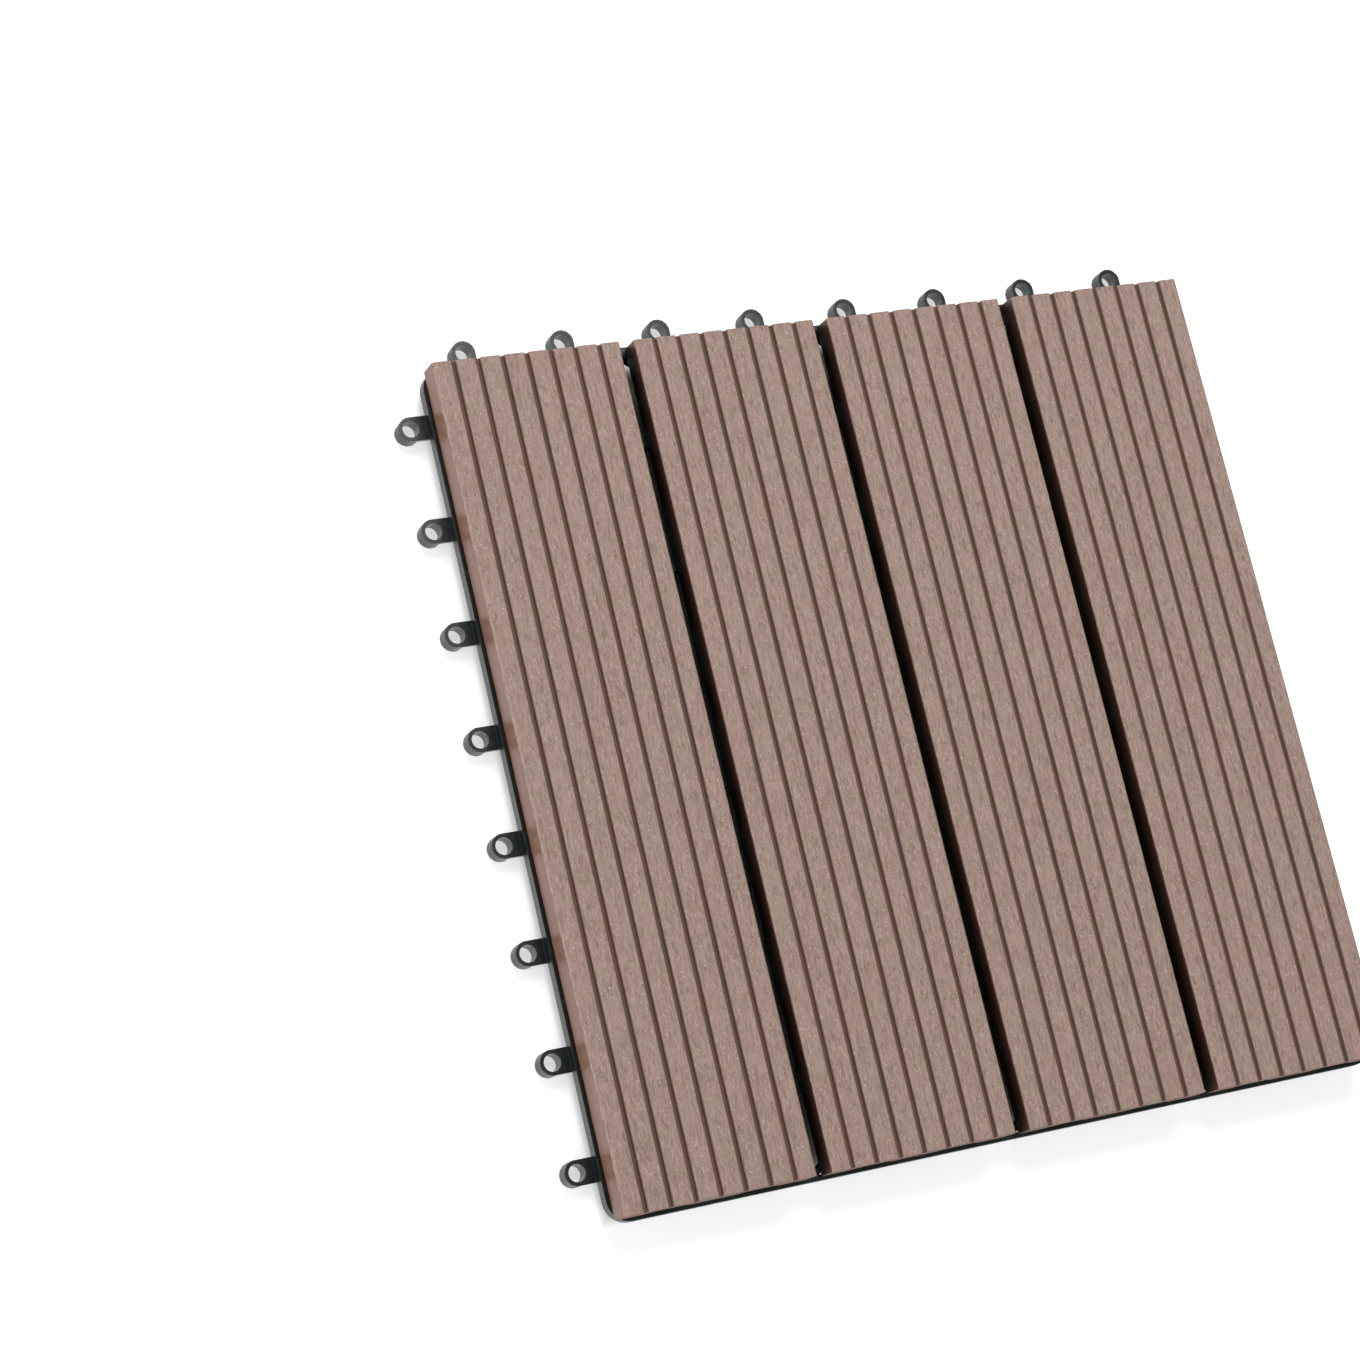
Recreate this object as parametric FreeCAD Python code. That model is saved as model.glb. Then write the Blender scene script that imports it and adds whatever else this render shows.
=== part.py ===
import FreeCAD, Part
import math
import os
from collections import namedtuple

# Interlocking deck tile, in millimetres.
# Four grooved composite slats lie side by side on a one-piece moulded snap
# grid and are screwed to it from below. The grid has eight loops along each of
# two edges and eight pegs along each of the two opposite edges: the pegs of one
# tile drop into the loops of the next.
# Frame: +Z up, Z = 0 is the floor under the feet, the origin is the middle of
# the tile, +Y runs along the slats. The loops are on the -X and +Y edges.

Vector = FreeCAD.Vector

# Tile module
tile_pitch = 300.0            # distance between neighbouring tiles
joint_gap = 1.5               # gap between the rims of neighbouring tiles
clips_per_side = 8            # loops or pegs along one edge
clip_end_inset = 20.0         # first and last clip from the module's corners

# Heights, from the floor up
foot_height = 6.2             # floor to the underside of the rim and ribs
rim_height = 4.4
seat_rise = 0.6               # the slats' seat stands this far above the rim
slat_thickness = 10.8

# Slats
slat_count = 4
slat_width = 69.8
slat_gap = 5.7
slat_length = 296.0
slat_edge_bevel = 0.6         # along the upper outer edges
slat_foot_bevel = 0.8         # along the lower outer edges
groove_count = 7
groove_pitch = 9.05
groove_width = 2.1            # at the top of the groove
groove_floor_width = 1.3
groove_depth = 1.5
ridge_bevel = 0.25
channel_offset = 16.7         # middle of each underside channel from the slat's middle
channel_mouth = 17.7
channel_roof = 9.8
channel_height = 4.9
channel_bevel = 0.9           # in the channel's upper corners
mouth_bevel = 0.4

# Grid walls
rim_wall = 2.0
rim_corner_radius = 8.0
rib_spaces = 8                # between the ribs that cross the slats, over the module
rib_wall = 1.8
diagonal_wall = 1.6
web_thickness = 2.0           # flat webs between ribs
edge_band_width = 7.5         # stiff band under the slats near their ends
pad_width = 22.0              # pads that carry the edges of two slats
pad_corner = 4.0
middle_pad_length = 24.0
inner_pad_length = 20.0
inner_pad_offset = 36.0       # middle of the pad from the tile's middle
outer_pad_length = 22.5
outer_pad_offset = 77.2

# Flats around round columns, apart from the clips that mounts are measured on
loop_sides = 16
column_sides = 10

# Feet
foot_radius = 3.7
foot_edge = 0.9
corner_foot_radius = 4.0
corner_foot_inset = 6.6       # from the rim's outer faces
side_foot_inset = 12.2
side_foot_spread = 8.0        # half the distance between paired feet
end_foot_inset = 19.2

# Loops and pegs
peg_radius = 2.8
peg_edge = 0.9
peg_play = 0.2                # radial clearance of a peg in a loop
clip_floor_gap = 0.4          # loops and pegs stop this far above the floor
loop_wall = 1.4
loop_reach = 6.0              # middle of a loop from the rim's outer face
loop_tab_thickness = 1.5
clip_root_length = 4.2        # root behind the rim's outer face
clip_root_thickness = 2.4
peg_pad_width = 7.2

# Screws and their bosses
screw_radius = 1.75
screw_length = 12.0           # under the head
screw_head_radius = 3.3
screw_head_height = 2.4
boss_radius = 5.0
head_play = 0.6               # around the screw's head in the boss
shank_play = 0.35             # around the screw's shank in the boss
pilot_play = 0.05             # around the screw's shank in the slat
pilot_extra_depth = 0.4

# Places worked out from the sizes above
rim_half = (tile_pitch - joint_gap) / 2
rim_inner_half = rim_half - rim_wall
rim_middle = rim_half - rim_wall / 2
corner_middle = rim_half - rim_corner_radius + (rim_corner_radius - rim_wall / 2) * math.sqrt(0.5)
rim_top = foot_height + rim_height
seat_z = rim_top + seat_rise
slat_pitch = slat_width + slat_gap
clip_pitch = (tile_pitch - 2 * clip_end_inset) / (clips_per_side - 1)
rib_pitch = tile_pitch / rib_spaces
loop_axis = rim_half + loop_reach
peg_axis = tile_pitch - loop_axis
loop_hole_radius = peg_radius + peg_play
loop_radius = loop_hole_radius + loop_wall
loop_half_width = loop_radius * math.cos(math.pi / loop_sides)
rib_reach = rim_inner_half + rim_wall / 4  # ribs end inside the rim's wall

slat_middles = [(i - (slat_count - 1) / 2) * slat_pitch for i in range(slat_count)]
gap_middles = [x + slat_pitch / 2 for x in slat_middles[:-1]]
clip_places = [(i - (clips_per_side - 1) / 2) * clip_pitch for i in range(clips_per_side)]
rib_places = [i * rib_pitch for i in (-2, -1, 0, 1, 2)]
band_inner = 3 * rib_pitch
band_outer = band_inner + edge_band_width - rib_wall
screw_places = [-band_inner, band_inner]
side_feet = rim_half - side_foot_inset
end_feet = rim_half - end_foot_inset
corner_feet = rim_half - corner_foot_inset

# Corner of an outline, with its bevel or, where rounded, its radius
Corner = namedtuple("Corner", "u v size rounded", defaults=(0, False))


def outline_wire(corners, place):
    """Closed outline through the corners, each placed in space by place(u, v)."""
    points = [place(corner.u, corner.v) for corner in corners]
    stretches = []
    for i, corner in enumerate(corners):
        point = points[i]
        if corner.size <= 0:
            stretches.append((point, point, None))
            continue
        back = points[i - 1] - point
        ahead = points[(i + 1) % len(points)] - point
        half_angle = back.getAngle(ahead) / 2
        back.normalize()
        ahead.normalize()
        start = point + back * (corner.size / math.tan(half_angle))
        end = point + ahead * (corner.size / math.tan(half_angle))
        inward = (back + ahead).normalize()
        middle = point + inward * (corner.size / math.sin(half_angle) - corner.size)
        stretches.append((start, end, middle if corner.rounded else None))
    edges = []
    for i, (start, end, middle) in enumerate(stretches):
        if middle is not None:
            edges.append(Part.Arc(start, middle, end).toShape())
        elif start.distanceToPoint(end) > 1e-6:
            edges.append(Part.LineSegment(start, end).toShape())
        following = stretches[(i + 1) % len(stretches)][0]
        if end.distanceToPoint(following) > 1e-6:
            edges.append(Part.LineSegment(end, following).toShape())
    return Part.Wire(edges)


def box(x0, x1, y0, y1, z0, z1):
    return Part.makeBox(x1 - x0, y1 - y0, z1 - z0, Vector(x0, y0, z0))


def rectangle_plate(half_x, half_y, size, rounded, z0, z1, x=0, y=0):
    """Flat plate around (x, y), with bevelled or rounded corners."""
    corners = [Corner(x + sx * half_x, y + sy * half_y, size, rounded)
               for sx, sy in ((-1, -1), (1, -1), (1, 1), (-1, 1))]
    wire = outline_wire(corners, lambda u, v: Vector(u, v, z0))
    return Part.Face(wire).extrude(Vector(0, 0, z1 - z0))


def rib(start, end, width):
    """Upright rib from start to end, both (x, y), that carries the slats."""
    length = math.hypot(end[0] - start[0], end[1] - start[1])
    angle = math.degrees(math.atan2(end[1] - start[1], end[0] - start[0]))
    wall = Part.makeBox(length, width, seat_z - foot_height, Vector(0, -width / 2, foot_height))
    wall.rotate(Vector(0, 0, 0), Vector(0, 0, 1), angle)
    wall.translate(Vector(start[0], start[1], 0))
    return wall


def turned(profile, x, y):
    """Solid of revolution about a vertical line, from (radius, z) points, bottom up."""
    points = [Vector(0, 0, profile[0][1])]
    points += [Vector(radius, 0, z) for radius, z in profile]
    points += [Vector(0, 0, profile[-1][1]), points[0]]
    solid = Part.Face(Part.makePolygon(points)).revolve(Vector(0, 0, 0), Vector(0, 0, 1), 360)
    solid.translate(Vector(x, y, 0))
    return solid


def column(profile, x, y, sides=column_sides, hole=False):
    """Column with flat sides about a vertical line, from (radius, z) points, bottom up.

    The corners lie on the radius, or for a hole the flats do.
    """
    half_step = math.pi / sides
    spread = 1 / math.cos(half_step) if hole else 1
    rings = []
    for radius, z in profile:
        ring = []
        for i in range(-1, sides):
            angle = (2 * i + 1) * half_step
            ring.append(Vector(x + radius * spread * math.cos(angle),
                               y + radius * spread * math.sin(angle), z))
        rings.append(ring)
    faces = [Part.Face(Part.makePolygon(ring)) for ring in (rings[0], rings[-1])]
    for low, high in zip(rings[:-1], rings[1:]):
        for i in range(sides):
            outline = [low[i], low[i + 1], high[i + 1], high[i], low[i]]
            faces.append(Part.Face(Part.makePolygon(outline)))
    return Part.Solid(Part.Shell(faces))


def slat_section():
    """Corners of a slat's section: u from its middle, v from its underside."""
    half = slat_width / 2
    top = slat_thickness
    groove_floor = top - groove_depth
    corners = [Corner(-half, 0, slat_foot_bevel), Corner(-half, top, slat_edge_bevel)]
    for i in range(groove_count):
        x = (i - (groove_count - 1) / 2) * groove_pitch
        corners += [Corner(x - groove_width / 2, top, ridge_bevel),
                    Corner(x - groove_floor_width / 2, groove_floor),
                    Corner(x + groove_floor_width / 2, groove_floor),
                    Corner(x + groove_width / 2, top, ridge_bevel)]
    corners += [Corner(half, top, slat_edge_bevel), Corner(half, 0, slat_foot_bevel)]
    for x in (channel_offset, -channel_offset):
        corners += [Corner(x + channel_mouth / 2, 0, mouth_bevel),
                    Corner(x + channel_roof / 2, channel_height, channel_bevel),
                    Corner(x - channel_roof / 2, channel_height, channel_bevel),
                    Corner(x - channel_mouth / 2, 0, mouth_bevel)]
    return corners


def make_slat(x):
    wire = outline_wire(slat_section(), lambda u, v: Vector(x + u, -slat_length / 2, seat_z + v))
    slat = Part.Face(wire).extrude(Vector(0, slat_length, 0))
    radius = screw_radius + pilot_play
    hole_top = foot_height + screw_length + pilot_extra_depth
    for y in screw_places:
        slat = slat.cut(column([(radius, foot_height), (radius, hole_top)], x, y, hole=True))
    return slat


def make_screw(x, y):
    """Pan-head screw, head down, seated in the boss at (x, y)."""
    head_bottom = foot_height - screw_head_height
    profile = [(screw_head_radius, head_bottom),
               (screw_head_radius, foot_height),
               (screw_radius, foot_height),
               (screw_radius, foot_height + screw_length)]
    return column(profile, x, y).removeSplitter()


def make_rim():
    outer = rectangle_plate(rim_half, rim_half, rim_corner_radius, True, foot_height, rim_top)
    inner_radius = rim_corner_radius - rim_wall
    inner = rectangle_plate(rim_inner_half, rim_inner_half, inner_radius, True, foot_height, rim_top)
    return outer.cut(inner)


def straight_ribs():
    """Ribs along the slats, ribs across them, and a stiff band near each end."""
    ribs = [rib((x, -rib_reach), (x, rib_reach), rib_wall) for x in slat_middles + gap_middles]
    ribs += [rib((-rib_reach, y), (rib_reach, y), rib_wall) for y in rib_places]
    half_length = side_foot_spread + foot_radius
    for sx, sy in ((-1, -1), (1, -1), (1, 1), (-1, 1)):
        x, y = sx * side_feet, sy * 2 * rib_pitch
        ribs.append(rib((x, y - half_length), (x, y + half_length), rib_wall))
    for side in (-1, 1):
        for y in (side * band_inner, side * band_outer):
            ribs.append(rib((-rib_reach, y), (rib_reach, y), rib_wall))
        low, high = sorted((side * band_inner, side * band_outer))
        ribs.append(box(-rib_reach, rib_reach, low, high, seat_z - web_thickness, seat_z))
    return ribs


def diagonal_end(x, y):
    """End of a diagonal, drawn back into the rim's wall where it meets a rounded corner."""
    if abs(x) == rim_middle and abs(y) == rim_middle:
        return math.copysign(corner_middle, x), math.copysign(corner_middle, y)
    return x, y


def diagonal_ribs():
    """One diagonal in every cell between the straight ribs, in zigzag rows."""
    lines = sorted([-rim_middle, rim_middle] + slat_middles + gap_middles)
    rows = [-band_inner] + rib_places + [band_inner]
    cells = list(zip(rows[:-1], rows[1:]))
    cells = [(-rim_middle, -band_outer)] + cells + [(band_outer, rim_middle)]
    ribs = []
    for i, (left, right) in enumerate(zip(lines[:-1], lines[1:])):
        for j, (low, high) in enumerate(cells):
            start, end = (low, high) if (i + j) % 2 == 0 else (high, low)
            ribs.append(rib(diagonal_end(left, start), diagonal_end(right, end), diagonal_wall))
    return ribs


def pads():
    """Pads across the gaps, under the edges of two slats."""
    spans = [(0, middle_pad_length)]
    for side in (-1, 1):
        spans.append((side * inner_pad_offset, inner_pad_length))
        spans.append((side * outer_pad_offset, outer_pad_length))
    return [rectangle_plate(pad_width / 2, length / 2, pad_corner, False,
                            seat_z - web_thickness, seat_z, x, y)
            for x in gap_middles for y, length in spans]


def foot(x, y, radius):
    return column([(radius - foot_edge, 0), (radius, foot_edge), (radius, foot_height)], x, y)


def feet():
    """Feet under the corners, along the sides, along the gaps and under the middle."""
    solids = [foot(0, 0, foot_radius)]
    solids += [foot(sx * corner_feet, sy * corner_feet, corner_foot_radius)
               for sx in (-1, 1) for sy in (-1, 1)]
    for side in (-side_feet, side_feet):
        for y in (-3 * rib_pitch, -rib_pitch, rib_pitch, 3 * rib_pitch):
            solids.append(foot(side, y, foot_radius))
        for y in (-2 * rib_pitch, 2 * rib_pitch):
            solids.append(foot(side, y - side_foot_spread, foot_radius))
            solids.append(foot(side, y + side_foot_spread, foot_radius))
    for x in gap_middles:
        for y in (-end_feet, -rib_pitch, rib_pitch, end_feet):
            solids.append(foot(x, y, foot_radius))
    return solids


def loop(measured):
    """Loop on the -X edge at Y = 0: tab under the rim, ring and its hole."""
    ring = column([(loop_radius, clip_floor_gap), (loop_radius, foot_height)], -loop_axis, 0,
                  loop_sides)
    tab = box(-loop_axis, -rim_half + clip_root_length, -loop_half_width, loop_half_width,
              foot_height - loop_tab_thickness, foot_height)
    root = box(-rim_middle, -rim_half + clip_root_length, -loop_half_width, loop_half_width,
               foot_height - loop_tab_thickness, foot_height + clip_root_thickness)
    profile = [(loop_hole_radius, 0), (loop_hole_radius, foot_height)]
    if measured:
        hole = turned(profile, -loop_axis, 0)
    else:
        hole = column(profile, -loop_axis, 0, loop_sides, hole=True)
    return ring.fuse([tab, root]).cut(hole)


def peg(measured):
    """Peg under the +X edge at Y = 0, with the pad that ties it to the rim."""
    pad = box(peg_axis - peg_pad_width / 2, rim_middle, -peg_pad_width / 2, peg_pad_width / 2,
              foot_height, foot_height + clip_root_thickness)
    profile = [(peg_radius - peg_edge, clip_floor_gap), (peg_radius, clip_floor_gap + peg_edge),
               (peg_radius, foot_height + clip_root_thickness / 2)]
    pin = turned(profile, peg_axis, 0) if measured else column(profile, peg_axis, 0)
    return pad.fuse(pin)


def along_edges(make_clip):
    """Clips along the edge they are made for, and a quarter turn back on the next edge.

    The first and last clip of an edge are truly round: mounts are measured on them.
    """
    first_or_last, between = make_clip(True), make_clip(False)
    copies = []
    for place in clip_places:
        clip = first_or_last if place in (clip_places[0], clip_places[-1]) else between
        moved = clip.copy()
        moved.translate(Vector(0, place, 0))
        copies.append(moved)
        turned_copy = moved.copy()
        turned_copy.rotate(Vector(0, 0, 0), Vector(0, 0, 1), -90)
        copies.append(turned_copy)
    return copies


def bosses():
    return [column([(boss_radius, 0), (boss_radius, seat_z)], x, y)
            for x in slat_middles for y in screw_places]


def boss_holes():
    """Recess for each screw's head, open at the floor, and a hole for its shank."""
    head = screw_head_radius + head_play
    shank = screw_radius + shank_play
    profile = [(head, -1), (head, foot_height), (shank, foot_height), (shank, seat_z + 1)]
    return [column(profile, x, y, hole=True) for x in slat_middles for y in screw_places]


def make_base():
    pieces = straight_ribs() + diagonal_ribs() + pads() + feet() + bosses()
    pieces += along_edges(loop) + along_edges(peg)
    base = make_rim().multiFuse(pieces)
    return base.cut(boss_holes()).removeSplitter()


os.makedirs("parts", exist_ok=True)

for number, middle_x in enumerate(slat_middles, start=1):
    make_slat(middle_x).exportStep("parts/slat_%d.step" % number)

screws = Part.makeCompound([make_screw(x, y) for x in slat_middles for y in screw_places])
screws.exportStep("parts/screws.step")

make_base().exportStep("parts/base_grid.step")
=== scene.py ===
import bpy
from mathutils import Matrix, Vector


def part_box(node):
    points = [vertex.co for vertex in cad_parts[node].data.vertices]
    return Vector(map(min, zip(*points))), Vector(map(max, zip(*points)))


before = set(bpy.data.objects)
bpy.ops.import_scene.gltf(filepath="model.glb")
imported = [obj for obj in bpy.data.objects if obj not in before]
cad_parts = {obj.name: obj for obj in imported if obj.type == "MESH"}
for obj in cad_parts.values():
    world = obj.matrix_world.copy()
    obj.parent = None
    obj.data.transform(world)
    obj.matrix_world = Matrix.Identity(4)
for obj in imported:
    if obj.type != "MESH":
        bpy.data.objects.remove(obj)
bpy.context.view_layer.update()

# The photograph's frame and the camera fitted to it: pixels, metres, and a turn vector in radians
# from the world's axes to the view's (right, down, forward)
FRAME_PX = 1360
SENSOR_MM = 36.0
FOCAL_PX = 3509.61
CENTRE_PX = (620.0, 620.0)
CAMERA_PLACE = (-0.551574, -0.197579, 1.104482)
CAMERA_TURN = (2.833229, -0.267422, 0.529589)
CAMERA_CLIP_END = 50

# Sizes of the solids in metres, read from the frame where it gives them
SLAT_COUNT = 4
SLAT_LOW, SLAT_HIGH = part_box("slat_1")
DECK_TOP = SLAT_HIGH[2]
SLAT_END = SLAT_HIGH[1]
SLAT_HALF_WIDTH = (SLAT_HIGH[0] - SLAT_LOW[0]) / 2
SLAT_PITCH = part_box("slat_2")[0][0] - SLAT_LOW[0]
OUTER_SIDE = -SLAT_LOW[0]
GROOVE_DEPTH = 0.0015
GROOVE_FLOOR = DECK_TOP - GROOVE_DEPTH
RIM_HALF = -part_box("base_grid")[0][1]
SCREW_LOW, SCREW_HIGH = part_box("screws")
HEAD_RADIUS = 0.0033
SCREW_ROW = SCREW_HIGH[1] - HEAD_RADIUS

# Where the slats' look changes, in metres
EDGE_STRIP_START = 0.0012
EDGE_STRIP_FULL = 0.0008
BRUSHED_DEPTH = 0.00018
EDGE_BRUSHED_DEPTH = 0.00058
RAGGED_DOWN = -0.00012
RAGGED_UP = 0.00014
GROOVE_BELOW = 0.0003
GROOVE_BELOW_FULL = 0.0001
GROOVE_WALL_START = 0.0001
GROOVE_WALL_FULL = 0.0006
OUTER_SIDE_MARGIN = 0.001
# Depths below the deck top where the painted shade in the gaps between slats starts and is full
GAP_SHADE_START = 0.001
GAP_SHADE_FULL = 0.007
CUT_START = 0.00006
CUT_FULL = 0.00002

# Small roundings, bump heights and the screws' cross recess, in metres
SLAT_ROUNDING = 0.0003
SLAT_BUMP = 0.00012
GRID_ROUNDING = 0.00025
GRID_BUMP = 0.00008
COLUMN_ROUNDING = 0.0012
RECESS_ARM = 0.0019
RECESS_HALF_WIDTH = 0.00045
RECESS_SKIN = 0.00005

# Noise scales per metre, across the slats, along them and upwards
FIBRES = (1700, 230, 1700)
DASHES = (1250, 330, 1250)
SPECKS = (2300, 1100, 2300)
STRIPS = (260, 26, 260)
BLOTCHES = (75, 32, 75)
MOTTLING = (320, 150, 320)
GROOVE_STREAKS = (420, 60, 420)
SKIN_STREAKS = (300, 40, 300)
RAGGED_EDGE = (600, 260, 600)
GRID_CLOUDS = (500, 500, 500)
GRID_TEXTURE = (1400, 1400, 1400)
ZINC_CLOUDS = (900, 900, 900)

# Colours, linear
GRAIN_LIGHT = (0.426, 0.301, 0.249, 1)
GRAIN_DARK = (0.269, 0.181, 0.144, 1)
DASH = (0.19, 0.12, 0.092, 1)
SPECK = (0.6, 0.46, 0.385, 1)
WARM_BLOTCH = (0.37, 0.24, 0.2, 1)
COOL_BLOTCH = (0.33, 0.262, 0.205, 1)
PINK_TINT = (1.06, 1, 1.075, 1)
OLIVE_TINT = (0.94, 1, 0.925, 1)
# Groove floor tones, darker than the side skin as painted shade; the groove wall colour is a
# painted light
GROOVE_SHADED_WARM = (0.15, 0.076, 0.054, 1)
GROOVE_SHADED_COOL = (0.118, 0.075, 0.052, 1)
GROOVE_WALL_PAINTED_LIGHT = (0.33, 0.225, 0.185, 1)
SKIN_LIGHT = (0.235, 0.118, 0.078, 1)
SKIN_DARK = (0.18, 0.085, 0.054, 1)
# Painted shade deep in the gaps between slats
GAP_PAINTED_SHADE = (0.03, 0.018, 0.013, 1)
CUT_END = (0.3, 0.19, 0.145, 1)
GRID_BLACK = (0.006, 0.009, 0.0095, 1)
GRID_SHEEN = (0.92, 1, 0.985, 1)
ZINC = (0.62, 0.62, 0.6, 1)
# Dark cross on the screw heads, painted shade standing in for the cross recess
RECESS_PAINTED_SHADE = (0.16, 0.16, 0.155, 1)
FLOOR = (0.86, 0.86, 0.86, 1)
WHITE = (1, 1, 1, 1)

# Floor and world
FLOOR_HALF = 6.0
FLOOR_GLOW = 0.6
FLOOR_GLOW_FADE = 0.006
WORLD_STRENGTH = 0.2


class Graph:
    """Short calls for building one material's nodes."""

    def __init__(self, name):
        self.material = bpy.data.materials.new(name)
        self.material.use_nodes = True
        self.tree = self.material.node_tree
        self.shader = self.tree.nodes["Principled BSDF"]
        self.object_place = self.node("ShaderNodeTexCoord").outputs["Object"]

    def node(self, kind, **settings):
        made = self.tree.nodes.new(kind)
        for key, value in settings.items():
            setattr(made, key, value)
        return made

    def link(self, source, target):
        self.tree.links.new(source, target)

    def put(self, socket, value):
        if isinstance(value, bpy.types.NodeSocket):
            self.link(value, socket)
        else:
            socket.default_value = value

    def scaled(self, scale):
        mapping = self.node("ShaderNodeMapping")
        self.link(self.object_place, mapping.inputs["Vector"])
        mapping.inputs["Scale"].default_value = scale
        return mapping.outputs["Vector"]

    def noise(self, scale, detail=2.0, roughness=0.5):
        noise = self.node("ShaderNodeTexNoise")
        self.link(self.scaled(scale), noise.inputs["Vector"])
        noise.inputs["Scale"].default_value = 1.0
        noise.inputs["Detail"].default_value = detail
        noise.inputs["Roughness"].default_value = roughness
        return noise.outputs["Fac"]

    def ranged(self, value, low, high, out_low=0.0, out_high=1.0):
        ranged = self.node("ShaderNodeMapRange")
        for name, number in (("Value", value), ("From Min", low), ("From Max", high),
                             ("To Min", out_low), ("To Max", out_high)):
            self.put(ranged.inputs[name], number)
        return ranged.outputs["Result"]

    def math(self, operation, a, b=0.0):
        made = self.node("ShaderNodeMath", operation=operation)
        self.put(made.inputs[0], a)
        self.put(made.inputs[1], b)
        return made.outputs[0]

    def vector(self, operation, a, b=None):
        made = self.node("ShaderNodeVectorMath", operation=operation)
        self.put(made.inputs[0], a)
        if b is not None:
            self.put(made.inputs["Scale" if operation == "SCALE" else 1], b)
        return made.outputs[0]

    def mix(self, factor, a, b, blend="MIX"):
        made = self.node("ShaderNodeMix", data_type="RGBA", blend_type=blend)
        self.put(made.inputs["Factor"], factor)
        self.put(made.inputs["A"], a)
        self.put(made.inputs["B"], b)
        return made.outputs["Result"]

    def choose(self, factor, a, b):
        made = self.node("ShaderNodeMixShader")
        for i, source in enumerate((factor, a, b)):
            self.link(source, made.inputs[i])
        return made.outputs[0]

    def axis(self, name, vector=None):
        split = self.node("ShaderNodeSeparateXYZ")
        self.link(vector or self.object_place, split.inputs[0])
        return split.outputs[name]

    def distance(self, name):
        return self.math("ABSOLUTE", self.axis(name))

    def from_slat_middle(self):
        """Distance across to the middle line of the slat that is nearest."""
        across = self.math("FRACT", self.math("DIVIDE", self.axis("X"), SLAT_PITCH))
        off = self.math("ABSOLUTE", self.math("SUBTRACT", across, 0.5))
        return self.math("MULTIPLY", off, SLAT_PITCH)

    def bevelled(self, radius, normal=None):
        bevel = self.node("ShaderNodeBevel")
        bevel.samples = 6
        bevel.inputs["Radius"].default_value = radius
        if normal is not None:
            self.link(normal, bevel.inputs["Normal"])
        return bevel.outputs["Normal"]

    def bump(self, height, strength, distance, normal=None):
        bump = self.node("ShaderNodeBump")
        self.link(height, bump.inputs["Height"])
        bump.inputs["Strength"].default_value = strength
        bump.inputs["Distance"].default_value = distance
        if normal is not None:
            self.link(normal, bump.inputs["Normal"])
        self.link(bump.outputs["Normal"], self.shader.inputs["Normal"])

    def round_sides(self, radius):
        """Normal that runs smoothly around an upright column's flats and stays flat on top."""
        real = self.node("ShaderNodeNewGeometry").outputs["True Normal"]
        real_z = self.axis("Z", real)
        level = self.vector("MULTIPLY", self.bevelled(radius), (1, 1, 0))
        upright_square = self.math("MULTIPLY", real_z, real_z)
        sideways = self.math("SQRT", self.math("SUBTRACT", 1.0, upright_square))
        level = self.vector("SCALE", self.vector("NORMALIZE", level), sideways)
        upright = self.vector("MULTIPLY", real, (0, 0, 1))
        return self.vector("ADD", level, upright)


def brushed_grain(g, fibres):
    """Colour of the brushed top: fibres, paler strips, blotches, dashes, specks, mottling."""
    strips = g.noise(STRIPS)
    blotches = g.noise(BLOTCHES, detail=3.0, roughness=0.6)
    dashes = g.noise(DASHES)
    specks = g.noise(SPECKS, detail=1.0, roughness=0.4)
    mottling = g.noise(MOTTLING, detail=3.0, roughness=0.7)
    grain = g.mix(g.ranged(fibres, 0.34, 0.66), GRAIN_DARK, GRAIN_LIGHT)
    grain = g.mix(g.ranged(strips, 0.35, 0.65, 0, 0.28), grain, GRAIN_LIGHT)
    grain = g.mix(g.ranged(blotches, 0.52, 0.72, 0, 0.45), grain, WARM_BLOTCH)
    grain = g.mix(g.ranged(blotches, 0.48, 0.28, 0, 0.45), grain, COOL_BLOTCH)
    grain = g.mix(g.ranged(dashes, 0.58, 0.7, 0, 0.6), grain, DASH)
    grain = g.mix(g.ranged(specks, 0.62, 0.72, 0, 0.7), grain, SPECK)
    tint = g.mix(g.ranged(mottling, 0.3, 0.7), OLIVE_TINT, PINK_TINT)
    return g.mix(1.0, grain, tint, "MULTIPLY")


def groove_painted_shade_and_light(g, height):
    """Dark floor of a groove, painted shade over its warm and cool streaks, that turns higher up
    into its wall painted lighter as painted light.
    """
    floor = g.mix(g.ranged(g.noise(GROOVE_STREAKS), 0.35, 0.65), GROOVE_SHADED_WARM, GROOVE_SHADED_COOL)
    # Painted light: the groove turns from its shaded floor to a lighter wall by height alone
    painted_wall_light = g.ranged(height, GROOVE_FLOOR + GROOVE_WALL_START, GROOVE_FLOOR + GROOVE_WALL_FULL)
    return g.mix(painted_wall_light, floor, GROOVE_WALL_PAINTED_LIGHT)


def skin_and_painted_gap_shade(g, height):
    """Extruded side with its streaks, darkened with painted shade deep in the gaps between slats
    but not on the tile's outside.
    """
    skin = g.mix(g.ranged(g.noise(SKIN_STREAKS, detail=3.0), 0.3, 0.7), SKIN_DARK, SKIN_LIGHT)
    outside = g.math("GREATER_THAN", g.distance("X"), OUTER_SIDE - OUTER_SIDE_MARGIN)
    # Painted shade: the side turns towards near black with depth inside the gaps
    deep = g.ranged(height, DECK_TOP - GAP_SHADE_START, DECK_TOP - GAP_SHADE_FULL)
    return g.mix(g.math("MULTIPLY", deep, g.math("SUBTRACT", 1.0, outside)), skin, GAP_PAINTED_SHADE)


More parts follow.
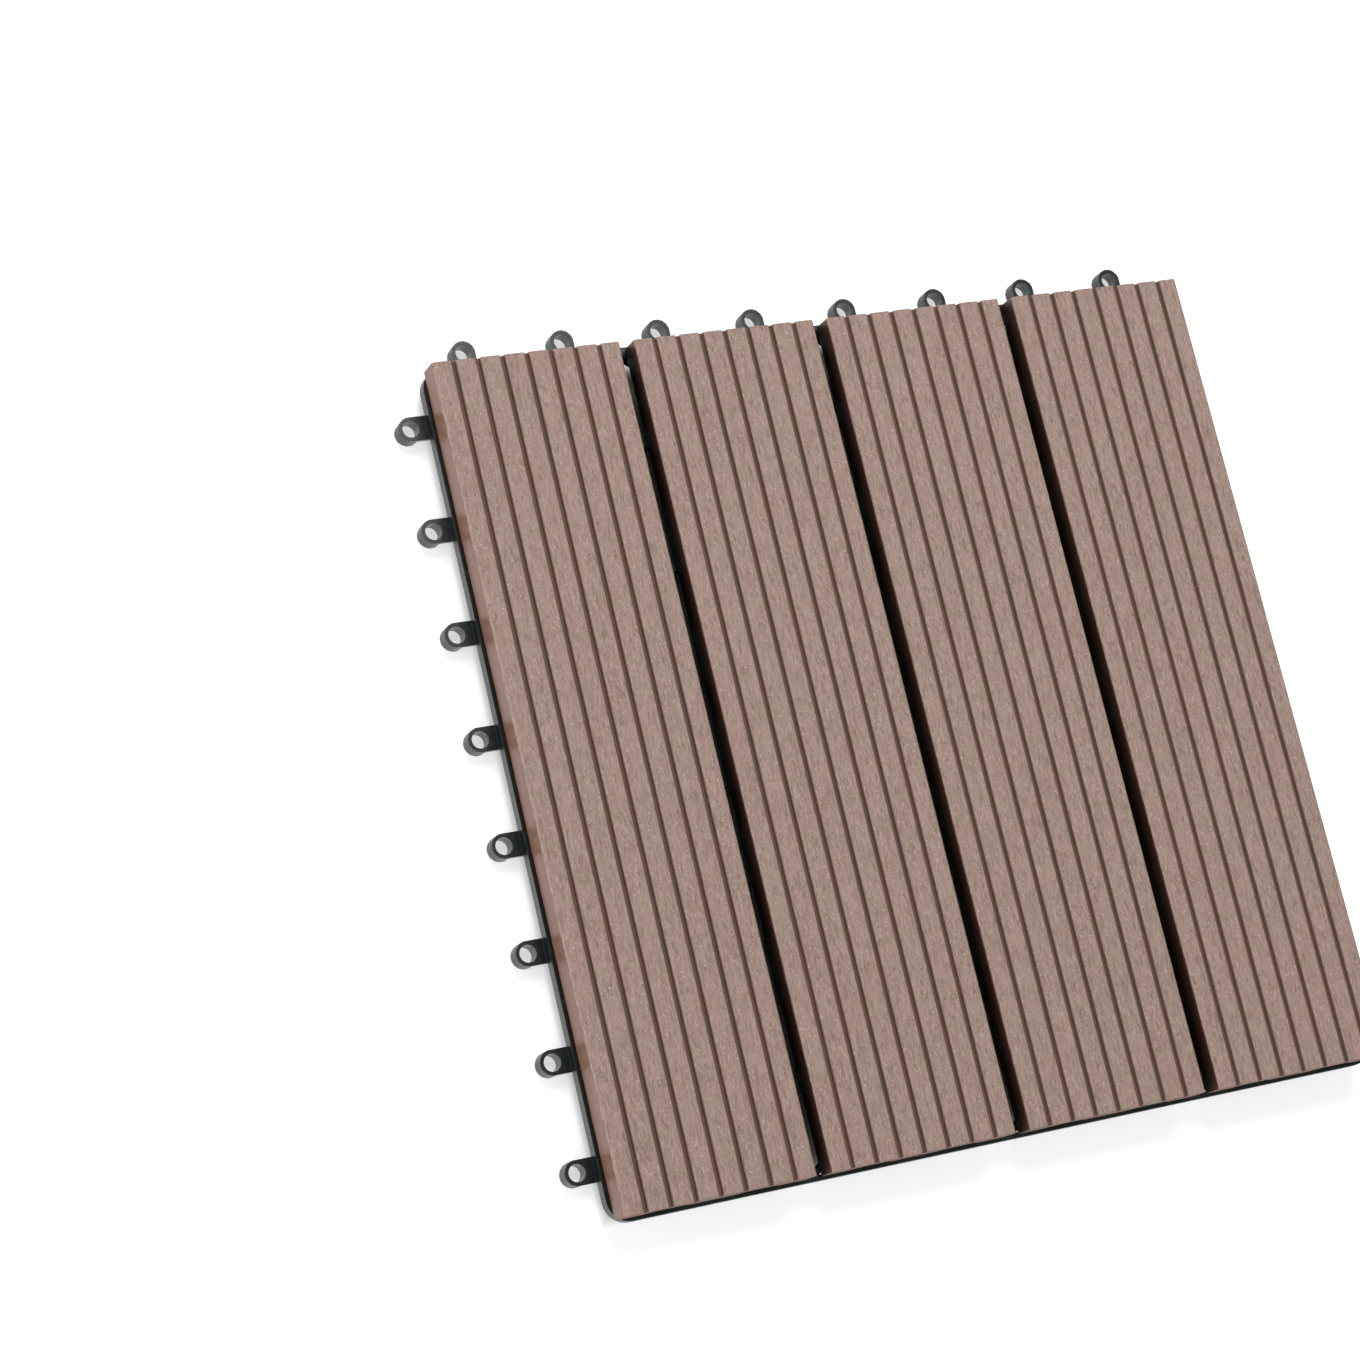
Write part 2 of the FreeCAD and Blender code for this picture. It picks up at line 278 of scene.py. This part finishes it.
def slat_material():
    g = Graph("brushed_composite")
    height = g.axis("Z")
    at_edge = g.ranged(g.from_slat_middle(), SLAT_HALF_WIDTH - EDGE_STRIP_START,
                       SLAT_HALF_WIDTH - EDGE_STRIP_FULL)
    fibres = g.noise(FIBRES, detail=3.0, roughness=0.62)

    in_grooves = g.ranged(height, GROOVE_FLOOR - GROOVE_BELOW, GROOVE_FLOOR - GROOVE_BELOW_FULL)
    in_grooves = g.math("MULTIPLY", in_grooves, g.math("SUBTRACT", 1.0, at_edge))
    colour = g.mix(in_grooves, skin_and_painted_gap_shade(g, height), groove_painted_shade_and_light(g, height))

    ragged = g.ranged(g.noise(RAGGED_EDGE), 0.35, 0.65, RAGGED_DOWN, RAGGED_UP)
    brushed_to = g.ranged(at_edge, 0, 1, DECK_TOP - BRUSHED_DEPTH, DECK_TOP - EDGE_BRUSHED_DEPTH)
    brushed = g.math("GREATER_THAN", height, g.math("ADD", brushed_to, ragged))
    colour = g.mix(brushed, colour, brushed_grain(g, fibres))

    cut = g.ranged(g.distance("Y"), SLAT_END - CUT_START, SLAT_END - CUT_FULL)
    colour = g.mix(cut, colour, CUT_END)
    g.link(colour, g.shader.inputs["Base Color"])

    rough = g.math("MAXIMUM", g.math("MAXIMUM", brushed, in_grooves), cut)
    g.link(g.ranged(rough, 0, 1, 0.34, 0.72), g.shader.inputs["Roughness"])
    g.shader.inputs["Specular IOR Level"].default_value = 0.45
    g.bump(fibres, 0.3, SLAT_BUMP, g.bevelled(SLAT_ROUNDING))
    return g.material


def grid_material():
    g = Graph("black_polypropylene")
    g.shader.inputs["Base Color"].default_value = GRID_BLACK
    g.link(g.ranged(g.noise(GRID_CLOUDS), 0.3, 0.7, 0.28, 0.4), g.shader.inputs["Roughness"])
    g.shader.inputs["Specular IOR Level"].default_value = 0.75
    g.shader.inputs["Specular Tint"].default_value = GRID_SHEEN
    g.bump(g.noise(GRID_TEXTURE), 0.12, GRID_BUMP,
           g.bevelled(GRID_ROUNDING, g.round_sides(COLUMN_ROUNDING)))
    return g.material


def screw_material():
    g = Graph("zinc_plated_steel")
    # Painted shade: a dark cross on the head's face stands in for the cross recess, which the
    # solid doesn't have
    x = g.from_slat_middle()
    y = g.math("ABSOLUTE", g.math("SUBTRACT", g.distance("Y"), SCREW_ROW))
    arm = g.math("LESS_THAN", g.math("MINIMUM", x, y), RECESS_HALF_WIDTH)
    arm = g.math("MULTIPLY", arm, g.math("LESS_THAN", g.math("MAXIMUM", x, y), RECESS_ARM))
    under_head = g.math("LESS_THAN", g.axis("Z"), SCREW_LOW[2] + RECESS_SKIN)
    painted_recess_shade = g.math("MULTIPLY", arm, under_head)
    g.link(g.mix(painted_recess_shade, ZINC, RECESS_PAINTED_SHADE), g.shader.inputs["Base Color"])
    g.shader.inputs["Metallic"].default_value = 1.0
    g.link(g.ranged(g.noise(ZINC_CLOUDS), 0.3, 0.7, 0.28, 0.42), g.shader.inputs["Roughness"])
    g.link(g.round_sides(COLUMN_ROUNDING), g.shader.inputs["Normal"])
    return g.material


def dress(name, material):
    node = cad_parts[name]
    node.data.materials.clear()
    node.data.materials.append(material)


def dress_tile():
    slat_look = slat_material()
    for number in range(1, SLAT_COUNT + 1):
        dress("slat_%d" % number, slat_look)
    dress("base_grid", grid_material())
    dress("screws", screw_material())


def floor_material():
    """Pale floor that the camera and reflections see as white, with its shadows; under the tile's
    footprint the glow and the white are left out, a painted shade there over the real shadow.
    """
    g = Graph("pale_floor")
    g.shader.inputs["Base Color"].default_value = FLOOR
    g.shader.inputs["Roughness"].default_value = 0.9
    g.shader.inputs["Specular IOR Level"].default_value = 0.1
    matte = g.node("ShaderNodeBsdfDiffuse")
    matte.inputs["Color"].default_value = FLOOR
    # Painted shade: no glow and no white for reflections under the tile's footprint
    from_middle = g.math("MAXIMUM", g.distance("X"), g.distance("Y"))
    outside_painted_shade = g.ranged(from_middle, RIM_HALF - FLOOR_GLOW_FADE, RIM_HALF)
    glow = g.node("ShaderNodeEmission")
    g.link(g.math("MULTIPLY", outside_painted_shade, FLOOR_GLOW), glow.inputs["Strength"])
    lit = g.node("ShaderNodeAddShader")
    g.link(matte.outputs[0], lit.inputs[0])
    g.link(glow.outputs[0], lit.inputs[1])
    white = g.node("ShaderNodeEmission")
    g.link(outside_painted_shade, white.inputs["Strength"])
    path = g.node("ShaderNodeLightPath")
    mirrored = g.math("MAXIMUM", path.outputs["Is Glossy Ray"],
                      path.outputs["Is Transmission Ray"])
    seen = g.choose(path.outputs["Is Camera Ray"], g.shader.outputs[0], lit.outputs[0])
    seen = g.choose(mirrored, seen, white.outputs[0])
    g.link(seen, g.tree.nodes["Material Output"].inputs["Surface"])
    return g.material


def make_floor():
    size = FLOOR_HALF
    mesh = bpy.data.meshes.new("floor")
    corners = [(-size, -size, 0), (size, -size, 0), (size, size, 0), (-size, size, 0)]
    mesh.from_pydata(corners, [], [(0, 1, 2, 3)])
    floor = bpy.data.objects.new("floor", mesh)
    bpy.context.scene.collection.objects.link(floor)
    mesh.materials.append(floor_material())


def area_light(name, place, target, size, watts):
    data = bpy.data.lights.new(name, "AREA")
    data.shape = "RECTANGLE"
    data.size, data.size_y = size
    data.energy = watts
    lamp = bpy.data.objects.new(name, data)
    lamp.location = place
    aim = Vector(target) - Vector(place)
    lamp.rotation_euler = aim.to_track_quat("-Z", "Y").to_euler()
    bpy.context.scene.collection.objects.link(lamp)


def make_light():
    """Two soft lamps in the plane of the grooves, and a low one for the tile's left side."""
    area_light("key", place=(0.2, 1.5, 1.8), target=(0, 0, 0), size=(1.4, 1.4), watts=42)
    area_light("front", place=(0.2, -1.6, 1.8), target=(0, 0, 0), size=(1.4, 1.4), watts=13)
    area_light("low", place=(-1.7, 0, 0.3), target=(0, 0, 0.01), size=(2.0, 0.5), watts=16)
    world = bpy.data.worlds.new("studio")
    bpy.context.scene.world = world
    world.use_nodes = True
    background = world.node_tree.nodes["Background"]
    background.inputs["Color"].default_value = WHITE
    background.inputs["Strength"].default_value = WORLD_STRENGTH


def rotation_matrix(turn):
    vector = Vector(turn)
    return Matrix.Rotation(vector.length, 3, vector.normalized())


def make_camera():
    data = bpy.data.cameras.new("camera")
    data.sensor_width = SENSOR_MM
    data.sensor_fit = "HORIZONTAL"
    data.lens = FOCAL_PX * SENSOR_MM / FRAME_PX
    data.shift_x = (FRAME_PX / 2 - CENTRE_PX[0]) / FRAME_PX
    data.shift_y = (CENTRE_PX[1] - FRAME_PX / 2) / FRAME_PX
    data.clip_end = CAMERA_CLIP_END
    camera = bpy.data.objects.new("camera", data)
    world_from_view = rotation_matrix(CAMERA_TURN).transposed() @ Matrix.Diagonal((1, -1, -1))
    camera.matrix_world = Matrix.Translation(CAMERA_PLACE) @ world_from_view.to_4x4()
    bpy.context.scene.collection.objects.link(camera)
    bpy.context.scene.camera = camera


dress_tile()
make_floor()
make_light()
make_camera()
bpy.context.scene.view_settings.view_transform = "Standard"
